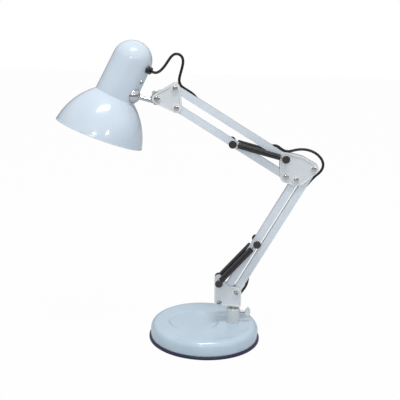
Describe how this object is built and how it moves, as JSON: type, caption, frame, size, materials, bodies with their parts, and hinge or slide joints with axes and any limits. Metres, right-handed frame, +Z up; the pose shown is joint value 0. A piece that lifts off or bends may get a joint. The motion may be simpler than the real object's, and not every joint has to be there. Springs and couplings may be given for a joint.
{
  "type": "swing arm desk lamp",
  "caption": "Balanced-arm desk lamp: weighted round base, swivel post, two sprung parallelogram arms, tilting stem and ball-jointed bell shade with a domed neck.",
  "frame": {"origin": "centre of the base, on its underside", "axes": "+Z up; the arms swing in the XZ plane and the shade hangs towards -X; the front of the brackets faces -Y"},
  "size_m": [0.4409, 0.316, 0.502],
  "materials": {
    "base_paint": "satin pale blue-grey white paint",
    "shade_paint": "gloss pale blue-white paint",
    "rubber": "matt black",
    "iron": "rough, dark",
    "steel": "zinc plated",
    "chrome": "polished",
    "bracket": "off-white moulding",
    "bar_paint": "white paint",
    "black_plastic": "black moulding",
    "white_plastic": "white moulding",
    "cord": "black flexible lead",
    "spring": "drawn wire",
    "holder": "white socket moulding"
  },
  "bodies": {
    "base": {"base_pan": "base_paint", "base_weight": "iron", "edge_ring": "rubber", "bottom_plate": "black_plastic", "plate_screws": "steel", "post": "bracket", "post_nut": "steel", "cord_foot": "cord", "cord_hank": "cord", "cord_tail": "cord", "cord_tie": "black_plastic", "plug": "black_plastic"},
    "thumb": {"thumb_screw": "steel", "thumb_knob": "white_plastic"},
    "turret": {"turret_front": "bracket", "turret_back": "bracket", "turret_pin": "steel", "turret_bolts": "chrome", "turret_nuts": "steel", "anchor_studs": "steel", "anchor_caps": "black_plastic"},
    "lower_outer": {"lower_bar_outer": "bar_paint", "cord_lower": "cord"},
    "lower_inner": {"lower_bar_inner": "bar_paint", "lower_spring_pin": "steel", "lower_spring_caps": "black_plastic"},
    "lower_sleeve_unit": {"lower_sleeves": "black_plastic", "lower_springs": "spring"},
    "lower_hooks": {"lower_spring_hooks": "spring"},
    "elbow": {"elbow_front": "bracket", "elbow_back": "bracket", "elbow_bolts": "chrome", "elbow_nuts": "steel", "elbow_pin": "steel", "elbow_caps": "black_plastic", "cord_elbow": "cord"},
    "upper_top": {"upper_bar_top": "bar_paint", "cord_upper": "cord"},
    "upper_bottom": {"upper_bar_bottom": "bar_paint", "upper_spring_pin": "steel", "upper_spring_caps": "black_plastic", "upper_far_hooks": "spring"},
    "upper_sleeve_unit": {"upper_sleeves": "black_plastic", "upper_springs": "spring"},
    "upper_near": {"upper_near_hooks": "spring"},
    "head": {"head_front": "bracket", "head_back": "bracket", "head_bolts": "chrome", "head_nuts": "steel", "tilt_bolt": "steel", "cord_head": "cord"},
    "tilt_knob": {"tilt_knob": "white_plastic"},
    "stem": {"stem": "chrome"},
    "ball": {"swivel_ball": "chrome"},
    "shade": {"shade": "shade_paint", "ball_retainer": "steel", "retainer_screw": "steel", "cord_bushing": "black_plastic", "lamp_holder": "holder", "holder_strap": "steel"}
  },
  "joints": [
    {"name": "thumb_screw_turn", "type": "hinge", "parent": "base", "child": "thumb", "pos_m": [0.0695, 0, 0.0475], "axis": [1, 0, 0], "range_deg": [-180, 180]},
    {"name": "base_swivel", "type": "hinge", "parent": "base", "child": "turret", "pos_m": [0.049, 0, 0.054], "axis": [0, 0, 1], "range_deg": [-90, 90], "deforming": ["cord_foot"]},
    {"name": "lower_arm_swing", "type": "hinge", "parent": "turret", "child": "lower_outer", "pos_m": [0.052, 0, 0.08495], "axis": [0, 1, 0], "range_deg": [-64, 3], "deforming": ["cord_foot", "cord_elbow"]},
    {"name": "lower_inner_swing", "type": "hinge", "parent": "turret", "child": "lower_inner", "pos_m": [0.024, 0, 0.06625], "axis": [0, 1, 0], "range_deg": [-64.5, 3.5]},
    {"name": "lower_sleeve_swing", "type": "hinge", "parent": "turret", "child": "lower_sleeve_unit", "pos_m": [0.0221, 0, 0.104], "axis": [0, 1, 0], "range_deg": [-89.46, 4.67]},
    {"name": "lower_hook_swing", "type": "hinge", "parent": "lower_inner", "child": "lower_hooks", "pos_m": [0.08321, 0, 0.17486], "axis": [0, 1, 0], "range_deg": [-25.46, 1.67]},
    {"name": "elbow_level", "type": "hinge", "parent": "lower_outer", "child": "elbow", "pos_m": [0.17119, 0, 0.30357], "axis": [0, 1, 0], "range_deg": [-3.5, 64.5], "deforming": ["cord_elbow"]},
    {"name": "upper_arm_swing", "type": "hinge", "parent": "elbow", "child": "upper_top", "pos_m": [0.12364, 0, 0.32077], "axis": [0, 1, 0], "range_deg": [-30, 20], "deforming": ["cord_elbow", "cord_head"]},
    {"name": "upper_bottom_swing", "type": "hinge", "parent": "elbow", "child": "upper_bottom", "pos_m": [0.12629, 0, 0.28927], "axis": [0, 1, 0], "range_deg": [-30.5, 20.5]},
    {"name": "upper_sleeve_swing", "type": "hinge", "parent": "elbow", "child": "upper_sleeve_unit", "pos_m": [0.12497, 0, 0.30502], "axis": [0, 1, 0], "range_deg": [-31.4, 21.1]},
    {"name": "upper_hook_swing", "type": "hinge", "parent": "elbow", "child": "upper_near", "pos_m": [0.12364, 0, 0.32077], "axis": [0, 1, 0], "range_deg": [-31.4, 21.1]},
    {"name": "head_level", "type": "hinge", "parent": "upper_top", "child": "head", "pos_m": [-0.05846, 0, 0.42932], "axis": [0, 1, 0], "range_deg": [-20.5, 30.5], "deforming": ["cord_head"]},
    {"name": "tilt_knob_turn", "type": "hinge", "parent": "head", "child": "tilt_knob", "pos_m": [-0.0874, 0.012, 0.41162], "axis": [0, 1, 0], "range_deg": [-180, 180]},
    {"name": "head_tilt", "type": "hinge", "parent": "head", "child": "stem", "pos_m": [-0.0874, 0, 0.41162], "axis": [0, 1, 0], "range_deg": [-35, 45], "deforming": ["cord_head"]},
    {"name": "shade_spin", "type": "hinge", "parent": "stem", "child": "ball", "pos_m": [-0.1269, 0, 0.41492], "axis": [0.9717, 0, -0.2362], "range_deg": [-60, 60], "deforming": ["cord_head"]},
    {"name": "shade_rock", "type": "hinge", "parent": "ball", "child": "shade", "pos_m": [-0.1269, 0, 0.41492], "axis": [0.4226, 0.0853, 0.9023], "range_deg": [-12, 60], "deforming": ["cord_head"]}
  ],
  "couplings": [
    {"joint": "lower_inner_swing", "follows": "lower_arm_swing", "ratio": 1},
    {"joint": "lower_sleeve_swing", "follows": "lower_arm_swing", "ratio": 1.39},
    {"joint": "lower_hook_swing", "follows": "lower_arm_swing", "ratio": 0.39},
    {"joint": "elbow_level", "follows": "lower_arm_swing", "ratio": -1},
    {"joint": "upper_bottom_swing", "follows": "upper_arm_swing", "ratio": 1},
    {"joint": "upper_sleeve_swing", "follows": "upper_arm_swing", "ratio": 1.03},
    {"joint": "upper_hook_swing", "follows": "upper_arm_swing", "ratio": 1.03},
    {"joint": "head_level", "follows": "upper_arm_swing", "ratio": -1}
  ]
}
